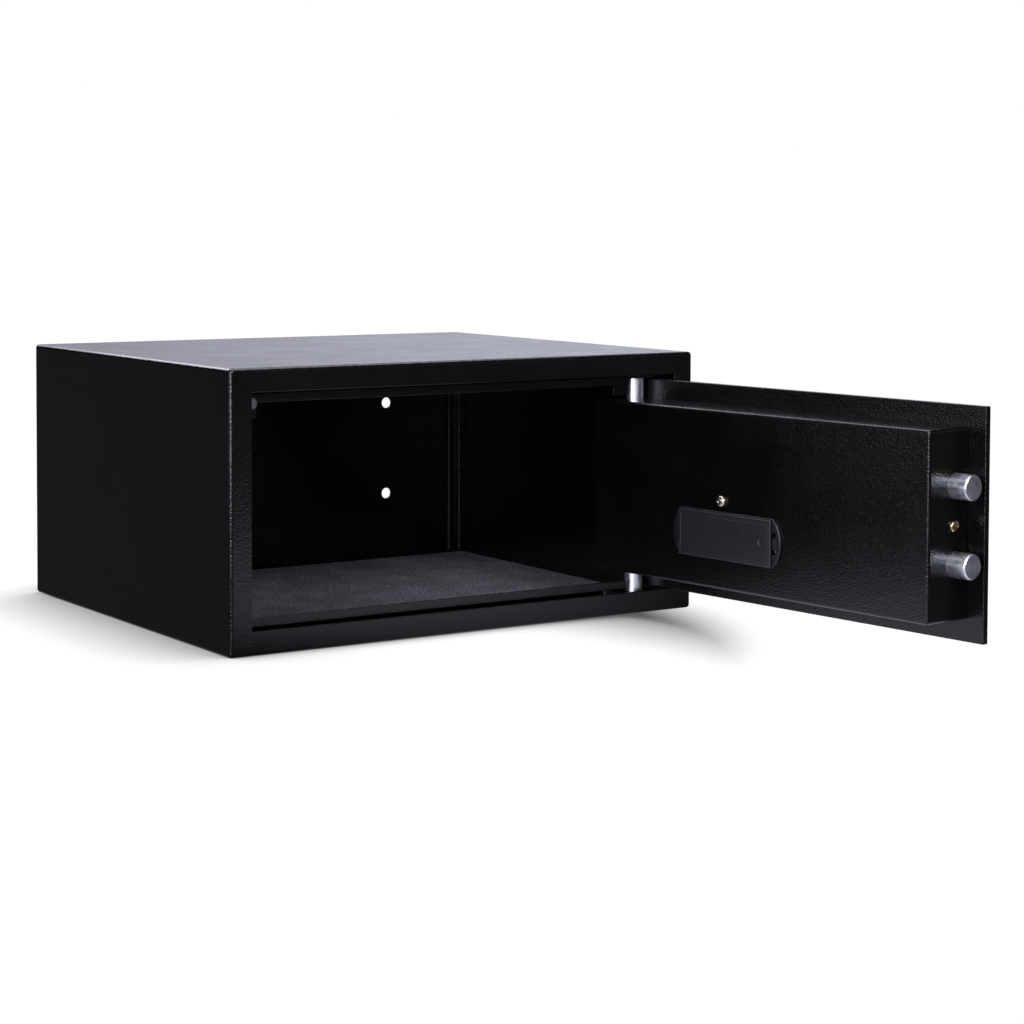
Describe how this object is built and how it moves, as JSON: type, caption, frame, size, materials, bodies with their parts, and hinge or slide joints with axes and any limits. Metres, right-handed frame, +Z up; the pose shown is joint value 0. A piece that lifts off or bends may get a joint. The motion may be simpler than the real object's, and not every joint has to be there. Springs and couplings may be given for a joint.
{
  "type": "in-room safe",
  "caption": "Low wide in-room safe: folded steel casing, side-hinged door with inner cover, motor-driven round bolts, battery bay and front keypad.",
  "frame": {"origin": "centre of the casing's bottom face", "axes": "+X to the right seen from the front (hinge side), +Y to the back, +Z up; the door front faces -Y when it is shut"},
  "size_m": [0.4439, 0.7158, 0.216],
  "materials": {
    "black_powder_coat": "semi-gloss orange-peel powder coat on steel",
    "chrome": "polished chrome plate",
    "floor_felt": "needle-punched grey felt",
    "clear_rubber": "clear polyurethane",
    "plated_steel": "bright zinc-plated steel",
    "acetal": "natural white acetal",
    "nickel": "nickel plate",
    "yellow_zinc": "yellow-passivated zinc plate",
    "brass": "turned brass",
    "grey_plastic": "moulded grey ABS",
    "black_plastic": "fine-textured black ABS",
    "display_glass": "smoked acrylic window",
    "cell_sleeve": "printed shrink sleeve, no lettering",
    "circuit_board": "green solder mask",
    "ribbon_cable": "grey ribbon cable",
    "wire_sleeve": "red and black wire sleeve",
    "key_rubber": "grey silicone rubber"
  },
  "bodies": {
    "casing": {"body_shell": "black_powder_coat", "back_panel": "black_powder_coat", "stop_strip_lower": "black_powder_coat", "stop_strip_upper": "black_powder_coat", "keeper_plate": "black_powder_coat", "hinge_lug_lower": "black_powder_coat", "hinge_lug_upper": "black_powder_coat", "hinge_pin_lower": "chrome", "hinge_pin_upper": "chrome", "corner_strip_left": "black_powder_coat", "corner_strip_right": "black_powder_coat", "floor_mat": "floor_felt", "door_buffer": "clear_rubber"},
    "door": {"door_plate": "black_powder_coat", "inner_cover": "black_powder_coat", "hinge_bracket_lower": "plated_steel", "hinge_bracket_upper": "plated_steel", "hinge_bush_lower": "acetal", "hinge_bush_upper": "acetal", "cover_post": "plated_steel", "cover_face_screw": "nickel", "cover_side_screw": "yellow_zinc", "bolt_guide": "plated_steel", "gear_motor": "plated_steel", "lock_housing": "nickel", "lock_nut": "nickel", "keypad_housing": "black_plastic", "display_window": "display_glass", "battery_holder": "black_plastic", "battery_contact_free": "nickel", "battery_contact_hinge": "nickel", "battery_upper_free": "cell_sleeve", "battery_upper_hinge": "cell_sleeve", "battery_lower_free": "cell_sleeve", "battery_lower_hinge": "cell_sleeve", "control_board": "circuit_board", "keypad_ribbon": "ribbon_cable", "battery_lead": "wire_sleeve", "motor_lead": "wire_sleeve"},
    "bolt_carriage": {"bolt_carriage": "plated_steel", "bolt_lower": "chrome", "bolt_upper": "chrome"},
    "drive_pinion": {"drive_pinion": "acetal"},
    "lock_plug": {"lock_plug": "brass"},
    "keyhole_cover": {"keyhole_cover": "grey_plastic"},
    "battery_cover": {"battery_cover": "black_plastic"},
    "key_1": {"key_1": "key_rubber"},
    "key_2": {"key_2": "key_rubber"},
    "key_3": {"key_3": "key_rubber"},
    "key_4": {"key_4": "key_rubber"},
    "key_5": {"key_5": "key_rubber"},
    "key_6": {"key_6": "key_rubber"},
    "key_7": {"key_7": "key_rubber"},
    "key_8": {"key_8": "key_rubber"},
    "key_9": {"key_9": "key_rubber"},
    "key_clear": {"key_clear": "key_rubber"},
    "key_0": {"key_0": "key_rubber"},
    "key_enter": {"key_enter": "key_rubber"}
  },
  "joints": [
    {"name": "door_hinge", "type": "hinge", "parent": "casing", "child": "door", "pos_m": [0.167, -0.1695, 0.108], "axis": [0, 0, 1], "range_deg": [-96.2, 18.8]},
    {"name": "bolt_throw", "type": "slide", "parent": "door", "child": "bolt_carriage", "axis": [0.108, -0.9942, 0], "range_m": [0, 0.016]},
    {"name": "pinion_spin", "type": "hinge", "parent": "door", "child": "drive_pinion", "pos_m": [0.18562, -0.41492, 0.1035], "axis": [-0.9942, -0.108, 0], "range_deg": [-5, 110]},
    {"name": "override_key_turn", "type": "hinge", "parent": "door", "child": "lock_plug", "pos_m": [0.19422, -0.42003, 0.066], "axis": [-0.9942, -0.108, 0], "range_deg": [-90, 0]},
    {"name": "keyhole_cover_swing", "type": "hinge", "parent": "door", "child": "keyhole_cover", "pos_m": [0.21933, -0.4012, 0.066], "axis": [-0.9942, -0.108, 0], "range_deg": [-95, 0]},
    {"name": "battery_cover_slide", "type": "slide", "parent": "door", "child": "battery_cover", "axis": [-0.108, 0.9942, 0], "range_m": [0, 0.098]},
    {"name": "key_1_press", "type": "slide", "parent": "door", "child": "key_1", "axis": [-0.9942, -0.108, 0], "range_m": [0, 0.0012], "stiffness_N_per_m": 400},
    {"name": "key_2_press", "type": "slide", "parent": "door", "child": "key_2", "axis": [-0.9942, -0.108, 0], "range_m": [0, 0.0012], "stiffness_N_per_m": 400},
    {"name": "key_3_press", "type": "slide", "parent": "door", "child": "key_3", "axis": [-0.9942, -0.108, 0], "range_m": [0, 0.0012], "stiffness_N_per_m": 400},
    {"name": "key_4_press", "type": "slide", "parent": "door", "child": "key_4", "axis": [-0.9942, -0.108, 0], "range_m": [0, 0.0012], "stiffness_N_per_m": 400},
    {"name": "key_5_press", "type": "slide", "parent": "door", "child": "key_5", "axis": [-0.9942, -0.108, 0], "range_m": [0, 0.0012], "stiffness_N_per_m": 400},
    {"name": "key_6_press", "type": "slide", "parent": "door", "child": "key_6", "axis": [-0.9942, -0.108, 0], "range_m": [0, 0.0012], "stiffness_N_per_m": 400},
    {"name": "key_7_press", "type": "slide", "parent": "door", "child": "key_7", "axis": [-0.9942, -0.108, 0], "range_m": [0, 0.0012], "stiffness_N_per_m": 400},
    {"name": "key_8_press", "type": "slide", "parent": "door", "child": "key_8", "axis": [-0.9942, -0.108, 0], "range_m": [0, 0.0012], "stiffness_N_per_m": 400},
    {"name": "key_9_press", "type": "slide", "parent": "door", "child": "key_9", "axis": [-0.9942, -0.108, 0], "range_m": [0, 0.0012], "stiffness_N_per_m": 400},
    {"name": "key_clear_press", "type": "slide", "parent": "door", "child": "key_clear", "axis": [-0.9942, -0.108, 0], "range_m": [0, 0.0012], "stiffness_N_per_m": 400},
    {"name": "key_0_press", "type": "slide", "parent": "door", "child": "key_0", "axis": [-0.9942, -0.108, 0], "range_m": [0, 0.0012], "stiffness_N_per_m": 400},
    {"name": "key_enter_press", "type": "slide", "parent": "door", "child": "key_enter", "axis": [-0.9942, -0.108, 0], "range_m": [0, 0.0012], "stiffness_N_per_m": 400}
  ],
  "couplings": [
    {"joint": "pinion_spin", "follows": "bolt_throw", "rad_per_m": 111.11}
  ]
}
